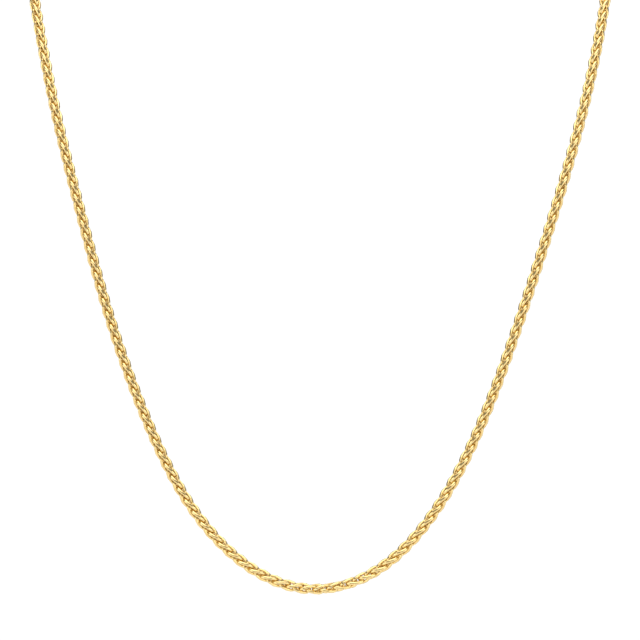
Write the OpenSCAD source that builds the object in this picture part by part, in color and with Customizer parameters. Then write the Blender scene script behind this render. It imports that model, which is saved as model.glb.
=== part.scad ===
// Wheat chain necklace, 450 mm round, with a plain closed clasp at the nape.
// The neck goes up through the loop along Z, and the front of the chain hangs towards -Y.
// The origin is on the neck's axis, level with the stretch of chain that lies on the nape.

/* [Chain] */
// Length of the whole necklace, along the middle of the chain, the rings and the clasp
loop_l = 450; // [400:5:500]
// Width across the woven links
chain_w = 2.0; // [1.8:0.05:2.4]
// Diameter of the wire that the links are bent from
link_wire = 0.57; // [0.4:0.01:0.6]
// How far the end links' legs lie inside the chain's skin
link_inset = 0.05; // [0.04:0.01:0.15]

/* [Jump rings] */
// Wire diameter of both jump rings
ring_wire = 0.6; // [0.5:0.05:0.65]
// Outer diameter of the ring that the clasp hooks into
end_ring_d = 4.2; // [3.6:0.1:5]
// Outer diameter of the ring between the chain and the clasp's eye
clasp_ring_d = 3.6; // [3.4:0.1:4.4]

/* [Clasp] */
// Wire diameter of the hook's back and bow
hook_wire = 1.3; // [1:0.05:1.5]
// Diameter of the slim bar that closes the hook
gate_wire = 0.9; // [0.7:0.05:1]
// Diameter of the stout foot of the hook
foot_wire = 1.7; // [1.4:0.05:1.9]
// Distance between the hook's back and its closing bar, middle to middle
hook_w = 3.2; // [2.8:0.1:4]
// Length of the straight part of the hook
hook_l = 3.6; // [2.5:0.1:6]
// Outer diameter of the clasp's eye
eye_d = 2.7; // [2.5:0.1:3.4]
// Wire diameter of the clasp's eye
eye_wire = 0.7; // [0.6:0.05:0.8]
// Length of the neck between the hook's foot and its eye
neck_l = 0.9; // [0.6:0.1:2]
// Diameter of the thumb knob on the closing bar
knob_d = 0.9; // [0.6:0.05:1.1]
// How far the thumb knob stands out of the closing bar's middle line
knob_h = 1.3; // [0.9:0.1:1.8]

/* [Fit] */
// Gap between linked pieces where they bear on each other
link_gap = 0.08; // [0.05:0.01:0.12]
// Gap between a ring's wire and the end of the woven chain
tube_gap = 0.25; // [0.1:0.05:0.5]

/* [Hidden] */
gold = "#e3b65a";

// Handles of the chain's route, from the nape down the wearer's right side, round the
// lowest point and back up. A smooth closed curve runs between them, and is then brought to
// the necklace's length.
route = [
    [0, 44, 0],
    [-18.5, 43, 0],
    [-35, 35.5, 0],
    [-47, 23.5, -1],
    [-54, 9.5, -5.5],
    [-54.5, -3, -15.5],
    [-51.5, -12.5, -29.5],
    [-48, -20, -45.5],
    [-43, -26, -63.5],
    [-38, -31, -81.5],
    [-31.5, -35.5, -99],
    [-23.5, -39.5, -115.5],
    [-12.5, -41.5, -127],
    [0, -42, -131.5],
    [13, -41.5, -127],
    [23.5, -39.5, -115],
    [31.5, -35.5, -99],
    [38, -31, -81],
    [44, -26.5, -63],
    [49.5, -20.5, -45.5],
    [53.5, -13, -29],
    [56, -3, -15.5],
    [54, 9.5, -5.5],
    [47, 23.5, -1],
    [35, 35.5, 0],
    [18.5, 43, 0]
];
// No stretch of the route runs along this direction, so it can set how a section is turned
facing = [0, -1, 1];
// Straight steps of the curve between two handles
span_steps = 8;
// Sections of the chain's tube, and the sides of each
tube_rings = 79;
tube_sides = 8;
// Fineness of a bent wire's arc and of a round wire's section
arc_fn = 96;
wire_fn = 48;

// The curve as drawn, in points, and the length run up to each of them
handles = len(route);
drawn = [
    for (k = [0 : handles * span_steps])
        route_point(floor(k / span_steps), (k % span_steps) / span_steps)
];
curve_end = len(drawn) - 1;
drawn_run_up = [
    for (
        k = 0, run = 0;
        k <= curve_end;
        run = run + norm(drawn[min(k + 1, curve_end)] - drawn[k]), k = k + 1
    )
        run
];
// The same curve at the necklace's length
growth = loop_l / drawn_run_up[curve_end];
curve = growth * drawn;
run_up = growth * drawn_run_up;

// Middle lines of the rings, the eye and the end links' arches
end_ring_r = (end_ring_d - ring_wire) / 2;
clasp_ring_r = (clasp_ring_d - ring_wire) / 2;
eye_r = (eye_d - eye_wire) / 2;
link_r = (chain_w - link_wire) / 2 - link_inset;
hook_r = hook_w / 2;

// Places along the route, in millimetres from the nape towards the first handle's side.
// Each ring bears on the inside of the piece that it runs through, with the gap between them.
bow_at = hook_l / 2;
foot_at = -hook_l / 2;
eye_at = foot_at - hook_r - foot_wire / 2 - neck_l - eye_r;
end_ring_near = bow_at + hook_r - hook_wire / 2 - link_gap - ring_wire / 2;
end_ring_at = end_ring_near + end_ring_r;
first_tip = end_ring_at + end_ring_r - ring_wire / 2 - link_gap - link_wire / 2;
clasp_ring_near = eye_at - eye_r + eye_wire / 2 + link_gap + ring_wire / 2;
clasp_ring_at = clasp_ring_near - clasp_ring_r;
last_tip = clasp_ring_at - clasp_ring_r + ring_wire / 2 + link_gap + link_wire / 2;
// From the middle of an end link's tip to the end of the tube, past the ring's wire
tip_to_tube = link_wire / 2 + link_gap + ring_wire + tube_gap;
leg_l = tip_to_tube - link_r + link_wire;

// Point of the curve at a share u of the span after handle i
function route_point(i, u) =
    let (
        before = route[(i + handles - 1) % handles],
        from = route[i % handles],
        to = route[(i + 1) % handles],
        after = route[(i + 2) % handles]
    )
    ((1 - u) ^ 3 * before + (3 * u ^ 3 - 6 * u ^ 2 + 4) * from
        + (3 * u + 3 * u ^ 2 - 3 * u ^ 3 + 1) * to + u ^ 3 * after) / 6;

function unit(v) = v / norm(v);
function wrap(s) = s < 0 ? s + loop_l : s > loop_l ? s - loop_l : s;
function point_at(s) = [
    for (axis = [0 : 2])
        lookup(wrap(s), [for (k = [0 : curve_end]) [run_up[k], curve[k][axis]]])
];
function direction_at(s) = unit(point_at(s + chain_w) - point_at(s - chain_w));
function square_to(v, along) = unit(v - (v * along) * along);

// Corners of the tube's section at s
function section(s) =
    let (
        along = direction_at(s),
        u = square_to(facing, along),
        v = cross(along, u)
    )
    [for (k = [0 : tube_sides - 1]) let (a = 360 * k / tube_sides)
        point_at(s) + chain_w / 2 * (cos(a) * u + sin(a) * v)];

// Draws its children at s, their X along the route and their Z as near to upright as it goes
module along_route(s) {
    x = direction_at(s);
    z = square_to([0, 0, 1], x);
    y = cross(z, x);
    p = point_at(s);
    multmatrix([
        [x[0], y[0], z[0], p[0]],
        [x[1], y[1], z[1], p[1]],
        [x[2], y[2], z[2], p[2]],
        [0, 0, 0, 1]
    ]) children();
}

// A bent wire: an arc of a ring in the XZ plane, from angle start through angle turn
module bow(r, wire, start = 0, turn = 360) {
    rotate([90, 0, 0])
        rotate_extrude(start = start, angle = turn, $fn = arc_fn)
            translate([r, 0]) circle(d = wire, $fn = wire_fn);
}

// A straight round bar along X, from x to x + l at height z, d thick at x and d_end at its end
module bar(x, z, l, d, d_end) {
    translate([x, 0, z]) rotate([0, 90, 0]) cylinder(d1 = d, d2 = d_end, h = l, $fn = wire_fn);
}

// The free arch of an end link, with its tip at X = 0 and its two legs running towards +X
module end_link() {
    translate([link_r, 0, 0]) bow(link_r, link_wire, 90, 180);
    for (z = [-link_r, link_r]) bar(link_r, z, leg_l, link_wire, link_wire);
}

module tube() {
    from = first_tip + tip_to_tube;
    l = loop_l + last_tip - tip_to_tube - from;
    corners = [for (i = [0 : tube_rings - 1]) each section(from + l * i / (tube_rings - 1))];
    walls = [
        for (i = [0 : tube_rings - 2], k = [0 : tube_sides - 1])
            let (
                a = i * tube_sides + k,
                b = i * tube_sides + (k + 1) % tube_sides
            )
            each [[a, a + tube_sides, b], [b, a + tube_sides, b + tube_sides]]
    ];
    first_cap = [for (k = [0 : tube_sides - 1]) k];
    last_cap = [for (k = [tube_sides - 1 : -1 : 0]) (tube_rings - 1) * tube_sides + k];
    polyhedron(corners, concat([first_cap], walls, [last_cap]));
}

module chain() {
    color(gold) union() {
        tube();
        along_route(first_tip) end_link();
        along_route(last_tip) mirror([1, 0, 0]) end_link();
    }
}

module jump_ring(r) {
    rotate([90, 0, 0]) bow(r, ring_wire);
}

module end_ring() {
    color(gold) along_route(end_ring_at) jump_ring(end_ring_r);
}

module clasp_ring() {
    color(gold) along_route(clasp_ring_at) jump_ring(clasp_ring_r);
}

// Round end of a bar
module ball(d) {
    sphere(d = d, $fn = wire_fn);
}

// Knob that a thumb would push, upright on the middle line of the closing bar
module thumb_knob() {
    post_h = knob_h - knob_d / 2;
    cylinder(d = knob_d, h = post_h, $fn = wire_fn);
    translate([0, 0, post_h]) ball(knob_d);
}

// Hook with its foot at low X and its bow at high X, its back below and its closing bar above
module hook() {
    translate([bow_at, 0, 0]) bow(hook_r, hook_wire, -90, 180);
    translate([bow_at, 0, hook_r]) ball(hook_wire);
    translate([foot_at, 0, 0]) bow(hook_r, foot_wire, 90, 180);
    translate([foot_at, 0, hook_r]) ball(foot_wire);
    bar(foot_at, -hook_r, hook_l, foot_wire, hook_wire);
    bar(foot_at, hook_r, hook_l, gate_wire, gate_wire);
    translate([foot_at + foot_wire, 0, hook_r]) thumb_knob();
}

module clasp() {
    color(gold) along_route(0) union() {
        hook();
        bar(eye_at + eye_r, 0, neck_l + foot_wire, eye_wire, foot_wire);
        translate([eye_at, 0, 0]) bow(eye_r, eye_wire);
    }
}

chain();
end_ring();
clasp_ring();
clasp();
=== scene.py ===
"""Wheat chain necklace: a chain of twisted, interlocked gold links, two jump rings and a closed clasp."""

import bisect
import math

import bpy
from mathutils import Matrix, Vector


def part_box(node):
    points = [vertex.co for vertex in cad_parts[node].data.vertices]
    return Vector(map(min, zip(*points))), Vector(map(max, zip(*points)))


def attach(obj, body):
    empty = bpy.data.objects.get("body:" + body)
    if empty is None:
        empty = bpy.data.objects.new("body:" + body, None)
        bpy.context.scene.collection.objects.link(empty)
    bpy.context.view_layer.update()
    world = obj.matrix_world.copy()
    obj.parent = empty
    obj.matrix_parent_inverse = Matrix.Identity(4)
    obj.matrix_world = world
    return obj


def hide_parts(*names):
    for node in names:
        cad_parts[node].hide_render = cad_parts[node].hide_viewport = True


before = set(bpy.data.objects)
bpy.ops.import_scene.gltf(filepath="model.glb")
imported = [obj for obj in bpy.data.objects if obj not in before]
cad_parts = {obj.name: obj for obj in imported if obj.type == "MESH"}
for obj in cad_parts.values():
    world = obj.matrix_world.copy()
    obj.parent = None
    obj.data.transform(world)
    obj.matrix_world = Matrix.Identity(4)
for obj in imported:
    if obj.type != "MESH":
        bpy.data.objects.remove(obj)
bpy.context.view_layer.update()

bpy.ops.object.select_all(action="DESELECT")

# Lengths are in metres. The first one is the whole necklace, clasp included
MM = 0.001
LOOP_L = 450 * MM

# Chain: its width, the length in which the weave repeats, and the play of a link in the next but one
CHAIN_W = 2.0 * MM
REPEAT = 2.5 * MM
LINK_PLAY = 0.04 * MM

# The links' wire is a little flattened: how deep it is in a link's own plane, and how wide across it
WIRE_DEEP = 0.56 * MM
WIRE_WIDE = 0.66 * MM
# Sides of the wire, steps of a link's round end, and the growth that makes a six-sided wire measure
# as much round its outside as a round one
WIRE_SIDES = 6
END_STEPS = 6
SIX_SIDED_GROWTH = 1.047
WIRE_R = WIRE_DEEP / 2 * SIX_SIDED_GROWTH

# Middle line of a link: radius of its round ends, half its length, length of half a side, how far a
# side bows out in the middle, and how far each end is twisted
LINK_R = (CHAIN_W - WIRE_DEEP) / 2
LINK_H = (REPEAT + WIRE_DEEP + LINK_PLAY) / 2
LINK_LEG = LINK_H - LINK_R
LINK_BOW = 0.06 * MM
LINK_TWIST = math.radians(42)

# Jump rings: their wire, the gap to the piece that they bear on, the hairline where their ends meet,
# the sides of the wire and the steps round a ring
RING_WIRE = 0.6 * MM
LINK_GAP = 0.08 * MM
RING_SEAM = 0.03 * MM
RING_SIDES = 16
RING_STEPS = 72

# Clasp: wire of the hook at its bow and foot, of its closing bar and its eye, the hook's width and
# straight length, the neck between foot and eye, the eye's outer diameter, and the thumb knob
HOOK_WIRE = 1.3 * MM
FOOT_WIRE = 1.7 * MM
GATE_WIRE = 0.9 * MM
EYE_WIRE = 0.7 * MM
HOOK_W = 3.2 * MM
HOOK_L = 3.6 * MM
NECK_L = 0.9 * MM
EYE_D = 2.7 * MM
KNOB_D = 0.9 * MM
KNOB_H = 1.3 * MM
# Sides of its rods, rings of its balls, steps of a half turn of its wire and of the taper on its
# back, and sides and steps of the eye
ROD_SIDES = 32
BALL_RINGS = 24
BEND_STEPS = 24
TAPER_STEPS = 8
EYE_SIDES = 24
EYE_STEPS = 64
# The clasp is shaped this many times its size, because its parts are fused in steps of at least
# 0.1 mm. Then its joins are eased: by what share, and how often
CLASP_GROWTH = 10
FUSE_STEP = 0.55 * MM
EASE_SHARE = 0.5
EASE_ROUNDS = 8

# Points nearer than this are one point, and an edge sharper than this stays crisp
MERGE_GAP = 0.001 * MM
CRISP_ANGLE = math.radians(50)

# Turns that leave a rod, or the hole of a ring, upright or lay it along the X or the Y axis
UPRIGHT = (0, 0, 0)
ALONG_X = (0, math.pi / 2, 0)
ALONG_Y = (math.pi / 2, 0, 0)

# The photograph's frame: its size in pixels, the real size of a pixel at the chain, and the pixel
# and the place of the lowest point of the chain's middle line
FRAME_PX = 640
PX = 0.184 * MM
LOWEST_PX = (315.0, 589.1)
LOWEST = Vector((0, -42, -130)) * MM
# The hanging part leans this far forward, so the camera that faces it looks down by as much
LEAN = math.radians(12)
CAMERA_FAR = 640 * MM
CAMERA_SEES_FROM = 10 * MM
CAMERA_SEES_TO = 50

# Handles of the chain's route, from the nape down the wearer's right side, round the lowest
# point and back up. A smooth closed curve runs between them, and is then brought to the
# necklace's length.
ROUTE = [
    (0, 0.044, 0),
    (-0.0185, 0.043, 0),
    (-0.035, 0.0355, 0),
    (-0.047, 0.0235, -0.001),
    (-0.054, 0.0095, -0.0055),
    (-0.0545, -0.003, -0.0155),
    (-0.0515, -0.0125, -0.0295),
    (-0.048, -0.02, -0.0455),
    (-0.043, -0.026, -0.0635),
    (-0.038, -0.031, -0.0815),
    (-0.0315, -0.0355, -0.099),
    (-0.0235, -0.0395, -0.1155),
    (-0.0125, -0.0415, -0.127),
    (0, -0.042, -0.1315),
    (0.013, -0.0415, -0.127),
    (0.0235, -0.0395, -0.115),
    (0.0315, -0.0355, -0.099),
    (0.038, -0.031, -0.081),
    (0.044, -0.0265, -0.063),
    (0.0495, -0.0205, -0.0455),
    (0.0535, -0.013, -0.029),
    (0.056, -0.003, -0.0155),
    (0.054, 0.0095, -0.0055),
    (0.047, 0.0235, -0.001),
    (0.035, 0.0355, 0),
    (0.0185, 0.043, 0),
]
SPAN_STEPS = 40

# How the chain lies rolled about its own line on either side, the stretch round the lowest point
# where it changes over, and the stretch to the nape in which the end links turn to meet their rings
ROLL_LEFT = math.radians(84)
ROLL_RIGHT = math.radians(-6)
ROLL_LOW = (214 * MM, 243 * MM)
ROLL_NAPE = 95 * MM

# Gold: its darker and lighter tone, how fine the change of tone and the polishing haze are, the
# roughness that the haze gives from and to, and how strong and deep its dents are
GOLD_TONES = ((0.86, 0.64, 0.27, 1), (0.90, 0.69, 0.32, 1))
TONE_EDGES = (0.3, 0.7)
TONE_FINENESS = 900
HAZE_FINENESS = 2600
ROUGHNESS = (0.1, 0.18)
DENT_STRENGTH = 0.03
DENT_DEPTH = 0.02 * MM

# Floor: its radius, sides, height, shade, roughness and sheen
FLOOR_R = 8
FLOOR_SIDES = 96
FLOOR_Z = -0.42
FLOOR_SHADE = 0.93
FLOOR_ROUGHNESS = 0.9
FLOOR_SHEEN = 0.2

# Brightness of the room, then a row for each soft light: its name, its height above the floor, how
# far round it is to the right of the front, how wide it looks, all in degrees, and its strength
ROOM_LIGHT = 0.3
SOFT_LIGHTS = [
    ("back_light", 70, 180, 90, 1.8),
    ("top_light", 65, 0, 50, 0.8),
    ("left_light", 0, -50, 50, 1.1),
    ("right_light", 0, 50, 50, 1.1),
]


def plane_point(px, py):
    """Point of the leaning plane that the photograph shows at a pixel."""
    up = Vector((0, math.sin(LEAN), math.cos(LEAN)))
    across = Vector((1, 0, 0))
    return LOWEST + across * (px - LOWEST_PX[0]) * PX + up * (LOWEST_PX[1] - py) * PX


def add_camera():
    """Camera square to the hanging part, framed as the photograph."""
    towards = Vector((0, -math.cos(LEAN), math.sin(LEAN)))
    data = bpy.data.cameras.new("camera")
    camera = bpy.data.objects.new("camera", data)
    bpy.context.scene.collection.objects.link(camera)
    camera.location = plane_point(FRAME_PX / 2, FRAME_PX / 2) + towards * CAMERA_FAR
    camera.rotation_euler = (math.radians(90) - LEAN, 0, 0)
    data.lens = data.sensor_width * CAMERA_FAR / (FRAME_PX * PX)
    data.clip_start = CAMERA_SEES_FROM
    data.clip_end = CAMERA_SEES_TO
    bpy.context.scene.camera = camera


def smooth_share(value, low, high):
    """Rises smoothly from 0 at low to 1 at high."""
    share = min(1.0, max(0.0, (value - low) / (high - low)))
    return share * share * (3 - 2 * share)


def curve_points():
    """Fine points of the smooth closed curve that the handles steer, at the necklace's length."""
    handles = [Vector(p) for p in ROUTE]
    count = len(handles)
    points = []
    for i in range(count):
        before, start = handles[i - 1], handles[i]
        end, after = handles[(i + 1) % count], handles[(i + 2) % count]
        for k in range(SPAN_STEPS):
            u = k / SPAN_STEPS
            # Each of the four nearest handles has its share of the point
            points.append((
                (1 - u) ** 3 * before
                + (3 * u**3 - 6 * u**2 + 4) * start
                + (3 * u + 3 * u**2 - 3 * u**3 + 1) * end
                + u**3 * after
            ) / 6)
    drawn = sum((points[i] - points[i - 1]).length for i in range(len(points)))
    return [point * LOOP_L / drawn for point in points]


class Route:
    """The closed curve: its points, how far each is from the nape, and at each the direction along
    the curve and the one to its back, which is carried along without rolling."""

    def __init__(self):
        self.points = curve_points()
        count = len(self.points)
        self.far = [0.0]
        for i in range(count):
            step = (self.points[(i + 1) % count] - self.points[i]).length
            self.far.append(self.far[-1] + step)
        self.length = self.far[-1]
        self.along = [
            (self.points[(i + 1) % count] - self.points[i - 1]).normalized() for i in range(count)
        ]
        self.back = self.carried_backs()

    def carried_backs(self):
        """Direction away from the camera at the lowest point, carried up both sides to the nape."""
        count = len(self.points)
        lowest = min(range(count), key=lambda i: self.points[i].z)
        backs = [None] * count
        backs[lowest] = Vector((0, math.cos(LEAN), -math.sin(LEAN)))
        for way in (1, -1):
            i = lowest
            while 0 <= i + way < count:
                carried = backs[i]
                i += way
                backs[i] = (carried - carried.dot(self.along[i]) * self.along[i]).normalized()
        return backs

    def place(self, s):
        """Point, direction and back at length s from the nape."""
        s = s % self.length
        low = bisect.bisect_right(self.far, s) - 1
        share = (s - self.far[low]) / (self.far[low + 1] - self.far[low])
        after = (low + 1) % len(self.points)
        point = self.points[low].lerp(self.points[after], share)
        along = self.along[low].lerp(self.along[after], share).normalized()
        # The backs carried up the two sides differ where they meet at the nape, so none lies between
        back = self.back[low] if after == 0 else self.back[low].lerp(self.back[after], share)
        back = (back - back.dot(along) * along).normalized()
        return point, along, back


def turned(along, back, roll):
    """Matrix whose Z runs along the chain and whose Y is the back direction, rolled about Z."""
    side = back.cross(along)
    axes = Matrix((side, back, along)).transposed().to_4x4()
    return axes @ Matrix.Rotation(roll, 4, "Z")


def edit(piece):
    """Enters edit mode on one piece with all of it selected."""
    bpy.ops.object.select_all(action="DESELECT")
    piece.select_set(True)
    bpy.context.view_layer.objects.active = piece
    bpy.ops.object.mode_set(mode="EDIT")
    bpy.ops.mesh.select_mode(type="VERT")
    bpy.ops.mesh.select_all(action="SELECT")


def seal():
    """Merges the edited piece's doubled points, points its faces outwards and leaves edit mode."""
    bpy.ops.mesh.select_all(action="SELECT")
    bpy.ops.mesh.remove_doubles(threshold=MERGE_GAP)
    bpy.ops.mesh.normals_make_consistent(inside=False)
    bpy.ops.object.mode_set(mode="OBJECT")


def extrude(way):
    """Draws the selected ring of points out by a distance."""
    bpy.ops.mesh.extrude_region_move(TRANSFORM_OT_translate={"value": way})


def apply_place(piece):
    """Puts the piece's place, turn and size into its mesh."""
    bpy.ops.object.select_all(action="DESELECT")
    piece.select_set(True)
    bpy.context.view_layer.objects.active = piece
    bpy.ops.object.transform_apply(location=True, rotation=True, scale=True)


def joined(pieces, name):
    """Joins pieces into the first of them, under a new name."""
    bpy.ops.object.select_all(action="DESELECT")
    for piece in pieces:
        piece.select_set(True)
    bpy.context.view_layer.objects.active = pieces[0]
    bpy.ops.object.join()
    pieces[0].name = name
    return pieces[0]


def link_facing(n):
    """Angle of a link's flat side about the chain's line: every other one lies crosswise."""
    return math.radians(-90) if n % 2 == 0 else 0.0


def link_twist(n):
    """Twist of a link's upper end. The crosswise links are twisted the other way."""
    return LINK_TWIST if n % 2 == 0 else -LINK_TWIST


def upright_roll(route, s, arch_angle, near):
    """Roll nearest to near that turns an end link's arch upright at s."""
    along, back = route.place(s)[1:]
    side = back.cross(along)
    roll = math.atan2(back.z, side.z) - arch_angle
    return roll + math.pi * round((near - roll) / math.pi)


def link_places(route, first_tip, last_tip):
    """A matrix for each link, evenly spaced from the first arch's tip to the last one's."""
    start = first_tip + LINK_H
    end = route.length + last_tip - LINK_H
    last = round((end - start) / (REPEAT / 2))
    first_roll = upright_roll(route, first_tip, link_facing(0) - link_twist(0), ROLL_LEFT)
    last_roll = upright_roll(route, end + LINK_H, link_facing(last) + link_twist(last), ROLL_RIGHT)
    places = []
    for n in range(last + 1):
        s = start + (end - start) * n / last
        roll = ROLL_LEFT + (ROLL_RIGHT - ROLL_LEFT) * smooth_share(s, *ROLL_LOW)
        roll += (first_roll - ROLL_LEFT) * (1 - smooth_share(s, start, ROLL_NAPE))
        roll += (last_roll - ROLL_RIGHT) * smooth_share(s, route.length - ROLL_NAPE, end)
        point, along, back = route.place(s)
        places.append(Matrix.Translation(point) @ turned(along, back, roll))
    return places


def model_link(name, n):
    """One link: six-sided wire bent into a long loop with round ends, then twisted end to end."""
    bpy.ops.mesh.primitive_circle_add(
        vertices=WIRE_SIDES,
        radius=WIRE_R,
        location=(LINK_R, 0, LINK_LEG),
        rotation=(0, 0, math.pi / 2),
    )
    link = bpy.context.active_object
    link.name = name
    link.scale = (WIRE_WIDE / WIRE_DEEP, 1, 1)
    apply_place(link)
    edit(link)
    for end in (1, -1):
        bpy.ops.mesh.spin(
            steps=END_STEPS, angle=math.pi, center=(0, 0, end * LINK_LEG), axis=(0, 1, 0)
        )
        extrude((-end * LINK_BOW, 0, -end * LINK_LEG))
        extrude((end * LINK_BOW, 0, -end * LINK_LEG))
    seal()
    link.rotation_euler = (0, 0, link_facing(n))
    apply_place(link)
    # The middle line is twisted as far as named, and the wire round its ends a little further
    twisting = link.modifiers.new("twist", "SIMPLE_DEFORM")
    twisting.deform_method = "TWIST"
    twisting.deform_axis = "Z"
    twisting.angle = 2 * link_twist(n) * (LINK_H + WIRE_R) / LINK_H
    bpy.ops.object.modifier_apply(modifier=twisting.name)
    bpy.ops.object.shade_smooth()
    return link


def model_chain(route, first_tip, last_tip):
    """The whole chain: two kinds of link in turn, each passing through the next two."""
    kinds = [model_link("link_even", 0), model_link("link_odd", 1)]
    links = []
    for n, place in enumerate(link_places(route, first_tip, last_tip)):
        link = kinds[n % 2].copy()
        link.data = kinds[n % 2].data.copy()
        link.data.transform(place)
        bpy.context.scene.collection.objects.link(link)
        links.append(link)
    for kind in kinds:
        bpy.data.objects.remove(kind)
    return joined(links, "woven_chain")


def model_jump_ring(name, box):
    """A ring of round wire that lies flat, its two ends pushed together into a hairline seam."""
    low, high = box
    middle = (low + high) / 2
    radius = (high.x - low.x - RING_WIRE) / 2
    bpy.ops.mesh.primitive_circle_add(
        vertices=RING_SIDES,
        radius=RING_WIRE / 2,
        fill_type="NGON",
        location=middle + Vector((0, radius, 0)),
        rotation=ALONG_X,
    )
    ring = bpy.context.active_object
    ring.name = name
    apply_place(ring)
    edit(ring)
    nearly_round = 2 * math.pi - RING_SEAM / radius
    bpy.ops.mesh.spin(steps=RING_STEPS, angle=nearly_round, center=middle, axis=(0, 0, 1))
    seal()
    bpy.ops.object.shade_smooth_by_angle(angle=CRISP_ANGLE)
    return ring


def grown(x, z=0.0):
    """A place in the clasp's own plane, at the size in which the clasp is shaped."""
    return Vector((x, 0, z)) * CLASP_GROWTH


def clasp_hook(middle):
    """The clasp's bent wire: stout round its foot, tapered along its back, slim round its bow."""
    foot = middle + grown(HOOK_L / 2)
    bow = middle - grown(HOOK_L / 2)
    bpy.ops.mesh.primitive_circle_add(
        vertices=ROD_SIDES,
        radius=FOOT_WIRE / 2 * CLASP_GROWTH,
        location=foot + grown(0, HOOK_W / 2),
        rotation=ALONG_X,
    )
    hook = bpy.context.active_object
    apply_place(hook)
    edit(hook)
    # The wire bends down round the foot, runs along the back, and bends up again round the bow
    bpy.ops.mesh.spin(steps=BEND_STEPS, angle=math.pi, center=foot, axis=(0, -1, 0))
    before = FOOT_WIRE
    for k in range(TAPER_STEPS):
        extrude(grown(-HOOK_L / TAPER_STEPS))
        after = FOOT_WIRE + (HOOK_WIRE - FOOT_WIRE) * smooth_share(k + 1, 0, TAPER_STEPS)
        here = foot + grown(-HOOK_L * (k + 1) / TAPER_STEPS, -HOOK_W / 2)
        bpy.ops.transform.resize(value=(after / before,) * 3, center_override=here)
        before = after
    bpy.ops.mesh.spin(steps=BEND_STEPS, angle=math.pi, center=bow, axis=(0, -1, 0))
    bpy.ops.mesh.select_all(action="SELECT")
    bpy.ops.mesh.fill_holes(sides=0)
    seal()
    return hook


def clasp_ball(place, thick):
    """A ball of the clasp, as thick as the wire or the knob that it rounds off."""
    bpy.ops.mesh.primitive_uv_sphere_add(
        segments=ROD_SIDES, ring_count=BALL_RINGS, radius=thick / 2 * CLASP_GROWTH, location=place
    )
    return bpy.context.active_object


def clasp_rod(place, thick, length, turn):
    """A straight rod of the clasp about its middle point."""
    bpy.ops.mesh.primitive_cylinder_add(
        vertices=ROD_SIDES,
        radius=thick / 2 * CLASP_GROWTH,
        depth=length * CLASP_GROWTH,
        location=place,
        rotation=turn,
    )
    return bpy.context.active_object


def clasp_gate(middle):
    """The straight closing bar, the balls at which it meets the hook, and the thumb knob on it."""
    top = HOOK_W / 2
    knob_x = HOOK_L / 2 - FOOT_WIRE
    post_h = KNOB_H - KNOB_D / 2
    return [
        clasp_ball(middle + grown(HOOK_L / 2, top), FOOT_WIRE),
        clasp_ball(middle + grown(-HOOK_L / 2, top), HOOK_WIRE),
        clasp_rod(middle + grown(0, top), GATE_WIRE, HOOK_L, ALONG_X),
        clasp_rod(middle + grown(knob_x, top + post_h / 2), KNOB_D, post_h, UPRIGHT),
        clasp_ball(middle + grown(knob_x, top + post_h), KNOB_D),
    ]


def clasp_eye(middle):
    """The neck, which starts inside the foot and thins towards the eye, and the eye itself."""
    eye_r = (EYE_D - EYE_WIRE) / 2
    neck_far = HOOK_L / 2 + HOOK_W / 2 + FOOT_WIRE / 2 + NECK_L
    neck_depth = NECK_L + FOOT_WIRE
    bpy.ops.mesh.primitive_cone_add(
        vertices=ROD_SIDES,
        radius1=FOOT_WIRE / 2 * CLASP_GROWTH,
        radius2=EYE_WIRE / 2 * CLASP_GROWTH,
        depth=neck_depth * CLASP_GROWTH,
        location=middle + grown(neck_far - neck_depth / 2),
        rotation=ALONG_X,
    )
    neck = bpy.context.active_object
    bpy.ops.mesh.primitive_torus_add(
        major_segments=EYE_STEPS,
        minor_segments=EYE_SIDES,
        major_radius=eye_r * CLASP_GROWTH,
        minor_radius=EYE_WIRE / 2 * CLASP_GROWTH,
        location=middle + grown(neck_far + eye_r),
        rotation=ALONG_Y,
    )
    return [neck, bpy.context.active_object]


def model_clasp(box):
    """Plain closed clasp, fused from its hook, closing bar, knob, neck and eye, its joins eased."""
    low, high = box
    middle = Vector((0, (low.y + high.y) / 2, 0)) * CLASP_GROWTH
    clasp = joined([clasp_hook(middle)] + clasp_gate(middle) + clasp_eye(middle), "closed_clasp")
    fusing = clasp.modifiers.new("fuse", "REMESH")
    fusing.mode = "VOXEL"
    fusing.voxel_size = FUSE_STEP
    bpy.ops.object.modifier_apply(modifier=fusing.name)
    easing = clasp.modifiers.new("ease", "SMOOTH")
    easing.factor = EASE_SHARE
    easing.iterations = EASE_ROUNDS
    bpy.ops.object.modifier_apply(modifier=easing.name)
    clasp.scale = (1 / CLASP_GROWTH,) * 3
    apply_place(clasp)
    bpy.ops.object.shade_smooth()
    return clasp


def noise(tree, fineness, detail):
    """An even noise through the metal, so many times finer than a metre."""
    place = tree.nodes.new("ShaderNodeTexCoord")
    texture = tree.nodes.new("ShaderNodeTexNoise")
    texture.inputs["Scale"].default_value = fineness
    texture.inputs["Detail"].default_value = detail
    tree.links.new(place.outputs["Object"], texture.inputs["Vector"])
    return texture.outputs["Fac"]


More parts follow.
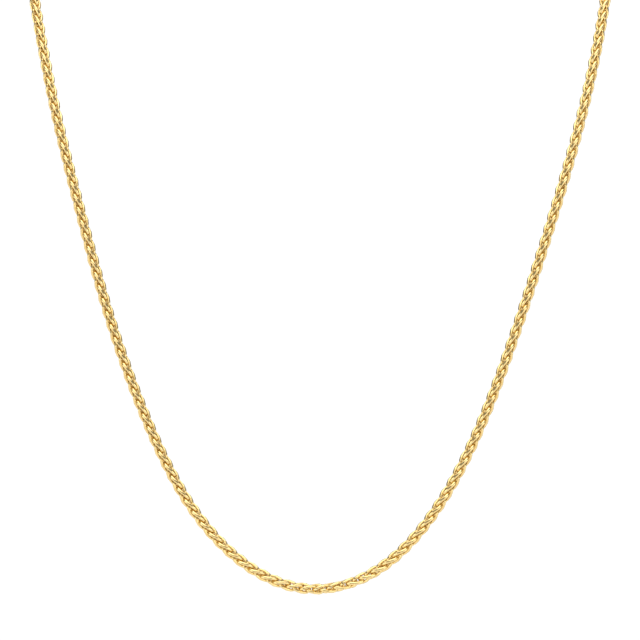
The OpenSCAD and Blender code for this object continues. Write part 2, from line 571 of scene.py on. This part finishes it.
def polished_gold(name):
    """Polished yellow gold: a slight shift of tone, and a fine haze in its gloss and its surface."""
    material = bpy.data.materials.new(name)
    material.use_nodes = True
    tree = material.node_tree
    shader = tree.nodes["Principled BSDF"]
    shader.inputs["Metallic"].default_value = 1.0

    tones = tree.nodes.new("ShaderNodeValToRGB")
    for element, position, tone in zip(tones.color_ramp.elements, TONE_EDGES, GOLD_TONES):
        element.position = position
        element.color = tone
    tree.links.new(noise(tree, TONE_FINENESS, detail=3), tones.inputs["Fac"])
    tree.links.new(tones.outputs["Color"], shader.inputs["Base Color"])

    haze = noise(tree, HAZE_FINENESS, detail=4)
    gloss = tree.nodes.new("ShaderNodeMapRange")
    gloss.inputs["To Min"].default_value, gloss.inputs["To Max"].default_value = ROUGHNESS
    tree.links.new(haze, gloss.inputs["Value"])
    tree.links.new(gloss.outputs["Result"], shader.inputs["Roughness"])

    dents = tree.nodes.new("ShaderNodeBump")
    dents.inputs["Strength"].default_value = DENT_STRENGTH
    dents.inputs["Distance"].default_value = DENT_DEPTH
    tree.links.new(haze, dents.inputs["Height"])
    tree.links.new(dents.outputs["Normal"], shader.inputs["Normal"])
    return material


def finish_piece(piece, material, node):
    """Gives a piece its metal, sets it under the root body and hides the solid of the frame that it
    stands for.
    """
    piece.data.materials.clear()
    piece.data.materials.append(material)
    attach(piece, "root")
    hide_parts(node)


def add_floor():
    """Wide pale floor, well below the chain."""
    bpy.ops.mesh.primitive_circle_add(
        vertices=FLOOR_SIDES, radius=FLOOR_R, fill_type="NGON", location=(0, 0, FLOOR_Z)
    )
    floor = bpy.context.active_object
    floor.name = "floor"
    apply_place(floor)
    material = bpy.data.materials.new("pale_floor")
    material.use_nodes = True
    shader = material.node_tree.nodes["Principled BSDF"]
    shader.inputs["Base Color"].default_value = (FLOOR_SHADE, FLOOR_SHADE, FLOOR_SHADE, 1)
    shader.inputs["Roughness"].default_value = FLOOR_ROUGHNESS
    shader.inputs["Specular IOR Level"].default_value = FLOOR_SHEEN
    floor.data.materials.append(material)


def add_lights():
    """Dim room light, and wide soft lights high behind, high in front and level at each side."""
    world = bpy.data.worlds.new("studio")
    bpy.context.scene.world = world
    world.use_nodes = True
    background = world.node_tree.nodes["Background"]
    background.inputs["Color"].default_value = (1, 1, 1, 1)
    background.inputs["Strength"].default_value = ROOM_LIGHT
    for name, height, side, spread, strength in SOFT_LIGHTS:
        data = bpy.data.lights.new(name, "SUN")
        data.energy = strength
        data.angle = math.radians(spread)
        light = bpy.data.objects.new(name, data)
        bpy.context.scene.collection.objects.link(light)
        light.rotation_euler = (math.radians(90 - height), 0, math.radians(side))


def main():
    """Makes the whole necklace, its plain floor, its lights and the camera."""
    bpy.context.scene.view_settings.view_transform = "Standard"
    add_camera()
    end_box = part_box("end_ring")
    clasp_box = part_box("clasp_ring")
    # Each end link bears on the inside of its ring, at the ring's side away from the clasp. At the
    # nape the route runs straight towards -X, so a length along it from there is -x
    inside = RING_WIRE + LINK_GAP + WIRE_DEEP / 2
    first_tip = -end_box[0].x - inside
    last_tip = -clasp_box[1].x + inside
    chain = model_chain(Route(), first_tip, last_tip)
    finish_piece(chain, polished_gold("chain_gold"), "chain")
    fittings = polished_gold("clasp_gold")
    end_ring = model_jump_ring("jump_ring_end", end_box)
    finish_piece(end_ring, fittings, "end_ring")
    clasp_ring = model_jump_ring("jump_ring_clasp", clasp_box)
    finish_piece(clasp_ring, fittings, "clasp_ring")
    clasp = model_clasp(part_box("clasp"))
    finish_piece(clasp, fittings, "clasp")
    add_floor()
    add_lights()


main()
